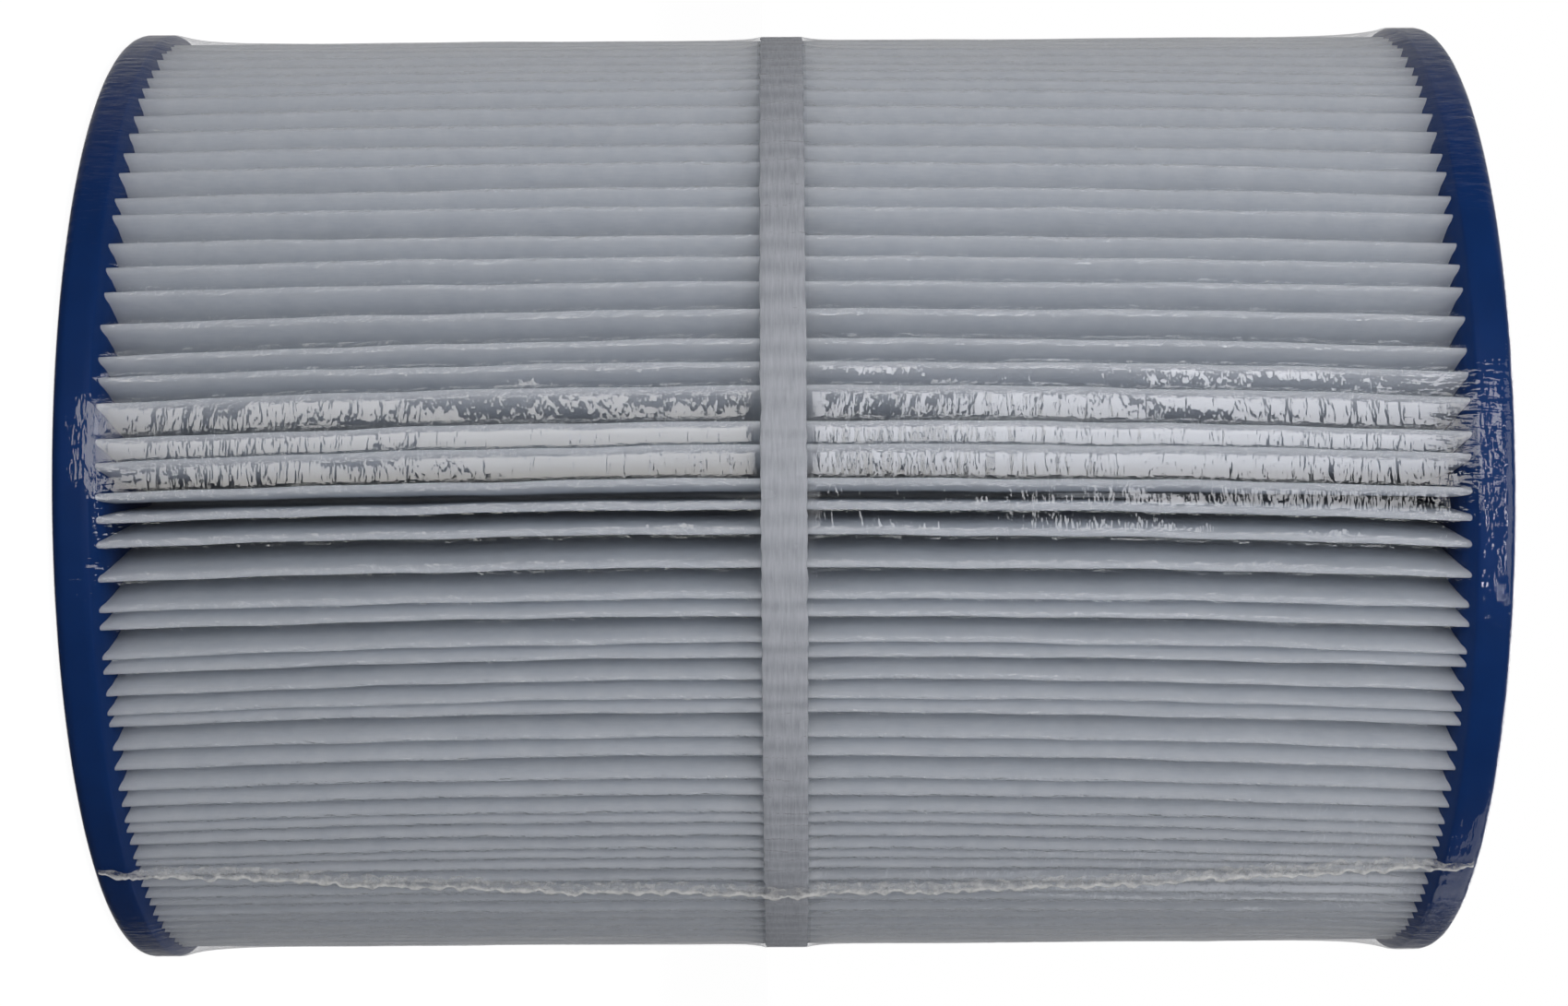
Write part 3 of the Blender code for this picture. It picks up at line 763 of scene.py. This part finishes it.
# Melted and torn polyolefin: milky where it is thick, clear between, and glossy all over.
milky_film, tree, out = new_material("welded_polyolefin_edge")
where = add_node(tree, "ShaderNodeUVMap", {"uv_map": "cloth"})
ridge = add_node(tree, "ShaderNodeAttribute", {"attribute_name": "ridge"})
patches = noise(tree, where.outputs["UV"], 2.4 * MM, 4.0, 0.65)
thick_here = add_node(tree, "ShaderNodeMath", {"operation": "MULTIPLY_ADD", "1": 0.3},
                      _0=ridge.outputs["Fac"], _2=patches.outputs["Fac"])
milk = add_node(tree, "ShaderNodeMapRange", {"From Min": 0.40, "From Max": 0.78,
                                             "To Min": 0.06, "To Max": 0.8},
                Value=thick_here.outputs[0])
folds = add_node(tree, "ShaderNodeBump", {"Strength": 0.8, "Distance": 0.4 * MM},
                 Height=patches.outputs["Fac"])
white = add_node(tree, "ShaderNodeBsdfPrincipled", {"Base Color": linear("#F1F0EC"),
                                                    "Roughness": 0.25, "IOR": 1.5},
                 Normal=folds.outputs["Normal"])
through = add_node(tree, "ShaderNodeBsdfTransparent", {"Color": (0.97, 0.97, 0.975, 1.0)})
weld_mix = add_node(tree, "ShaderNodeMixShader", {}, _0=milk.outputs[0],
                    _1=through.outputs[0], _2=white.outputs[0])
tree.links.new(weld_mix.outputs[0], out.inputs["Surface"])

weld = grid_piece("film_weld_ribbon", weld_points, milky_film, uv=weld_uv,
                  marks={"ridge": ridge_mark})
stands_for(weld, "film_weld", "film_weld_seam")


# ---- Floor, light and camera ---------------------------------------------------------------
# A pale seamless floor and backdrop that read as white, a window in three panes and a thin lamp
# in front, a broad key overhead, and weak fills at the side and the back. The camera lies on its
# side, so the standing cartridge fills the wide frame.

scene = bpy.context.scene
scene.view_settings.view_transform = "Standard"

# Matt paper that is lit to white, with only a soft trace of the cartridge's shade on it.
PAPER_GLOW = 0.80
paper, tree, out = new_material("seamless_white_paper")
seen = add_node(tree, "ShaderNodeLightPath")
glow_share = add_node(tree, "ShaderNodeMath", {"operation": "MULTIPLY", "1": PAPER_GLOW},
                      _0=seen.outputs["Is Camera Ray"])
matt = add_node(tree, "ShaderNodeBsdfDiffuse", {"Color": linear("#D8D8D8")})
glow = add_node(tree, "ShaderNodeEmission", {"Strength": 1.2})
paper_mix = add_node(tree, "ShaderNodeMixShader", {}, _0=glow_share.outputs[0],
                     _1=matt.outputs[0], _2=glow.outputs[0])
tree.links.new(paper_mix.outputs[0], out.inputs["Surface"])
FLOOR_REACH, FLOOR_Z = 30.0, -0.1 * MM
floor_mesh = bpy.data.meshes.new("paper_floor")
floor_corners = [(x * FLOOR_REACH, y * FLOOR_REACH, FLOOR_Z)
                 for x, y in ((-1, -1), (1, -1), (1, 1), (-1, 1))]
floor_mesh.from_pydata(floor_corners, [], [(0, 1, 2, 3)])
floor_mesh.materials.append(paper)
floor = bpy.data.objects.new("paper_floor", floor_mesh)
scene.collection.objects.link(floor)
floor.visible_glossy = False  # the film mirrors the room, and not the paper under it

world = bpy.data.worlds.new("pale_room")
world.use_nodes = True
scene.world = world
tree = world.node_tree
tree.nodes.clear()
out = tree.nodes.new("ShaderNodeOutputWorld")
way = add_node(tree, "ShaderNodeTexCoord")
BRIGHT_SIDE = (-0.45, 0.90, 0.15)  # mostly behind the cartridge
toward = add_node(tree, "ShaderNodeVectorMath", {"operation": "DOT_PRODUCT", "1": BRIGHT_SIDE},
                  _0=way.outputs["Generated"])
level = add_node(tree, "ShaderNodeMapRange", {"From Min": 0.2, "From Max": 0.9,
                                              "To Min": 0.035, "To Max": 0.42},
                 Value=toward.outputs["Value"])
# The near side of the room mirrors dark in the film, and still fills the depths of the folds.
ROOM_FILL = 0.09
ray = add_node(tree, "ShaderNodeLightPath")
matt_ray = add_node(tree, "ShaderNodeMath", {"operation": "SUBTRACT", "0": 1.0},
                    _1=ray.outputs["Is Glossy Ray"])
filled = add_node(tree, "ShaderNodeMath", {"operation": "MULTIPLY_ADD", "1": ROOM_FILL},
                  _0=matt_ray.outputs[0], _2=level.outputs[0])
room = add_node(tree, "ShaderNodeBackground", {"Color": (0.98, 0.98, 1.0, 1.0)},
                Strength=filled.outputs[0])
backdrop = add_node(tree, "ShaderNodeBackground", {"Color": (1, 1, 1, 1), "Strength": 1.0})
seen = add_node(tree, "ShaderNodeLightPath")
sky = add_node(tree, "ShaderNodeMixShader", {}, _0=seen.outputs["Is Camera Ray"],
               _1=room.outputs[0], _2=backdrop.outputs[0])
tree.links.new(sky.outputs[0], out.inputs["Surface"])


def softbox(name, place, size, brightness, colour, toward):
    """A rectangular area light of a given radiance that faces a point. The camera can't see it."""
    light = bpy.data.lights.new(name, "AREA")
    light.shape = "RECTANGLE"
    light.size, light.size_y = size
    light.energy = brightness * math.pi * size[0] * size[1]
    light.color = colour
    lamp = bpy.data.objects.new(name, light)
    scene.collection.objects.link(lamp)
    lamp.location = place
    side = Vector((1, 0, 0))
    back = (Vector(place) - Vector(toward)).normalized()
    side = (side - side.project(back)).normalized()
    lamp.matrix_world = Matrix.Translation(place) @ Matrix(
        (side, back.cross(side), back)).transposed().to_4x4()
    lamp.visible_camera = False


# In front of the cartridge, and so in the film's facets, stand the window's panes and the lamp.
WARM, COOL = (1.0, 0.98, 0.95), (0.96, 0.965, 1.0)
WINDOW_Y = -0.60
FACETS_Y = -0.08  # the front facets, which these face
softbox("window_right_half", (-0.1225, WINDOW_Y, middle_z + 0.129), (0.225, 0.166), 5.2, COOL,
        (-0.03, FACETS_Y, middle_z + 0.06))
softbox("window_right_sill", (0.02, WINDOW_Y, middle_z + 0.168), (0.06, 0.088), 4.0, COOL,
        (0.0, FACETS_Y, middle_z + 0.08))
softbox("window_left_half", (-0.12, WINDOW_Y, middle_z - 0.088), (0.18, 0.216), 3.9, WARM,
        (-0.03, FACETS_Y, middle_z - 0.04))
softbox("glint_strip", (0.10, WINDOW_Y, middle_z + 0.33), (0.30, 0.02), 14.0, COOL,
        (0.0, FACETS_Y, middle_z))
softbox("overhead_key", (-0.05, -1.2, 1.7), (1.4, 1.4), 1.45, COOL, (0, 0, middle_z))
softbox("back_fill", (0.2, 1.3, 1.5), (1.2, 1.2), 2.4, COOL, (0, 0, middle_z))
softbox("side_fill", (1.4, 0.5, 0.9), (1.0, 1.0), 0.8, COOL, (0, 0, middle_z))

CAMERA_DISTANCE = 0.6007
CAMERA_OFFSET = 2.1 * MM  # the lens sits this far below the cartridge's axis, as the frame sees it
CAMERA_ROLL = math.radians(-0.35)
SENSOR_WIDTH, FOCAL_LENGTH = 36.0, 70.6
lens = bpy.data.cameras.new("level_camera")
lens.sensor_width, lens.lens = SENSOR_WIDTH, FOCAL_LENGTH
lens.clip_start, lens.clip_end = 0.01, 20.0
camera = bpy.data.objects.new("level_camera", lens)
scene.collection.objects.link(camera)
upright = Matrix(((0, -1, 0), (0, 0, -1), (1, 0, 0)))  # frame right is +Z, frame up is -X
roll = Matrix.Rotation(CAMERA_ROLL, 3, "Z")
camera.matrix_world = Matrix.Translation(
    (CAMERA_OFFSET, -CAMERA_DISTANCE, middle_z)) @ (upright @ roll).to_4x4()
scene.camera = camera
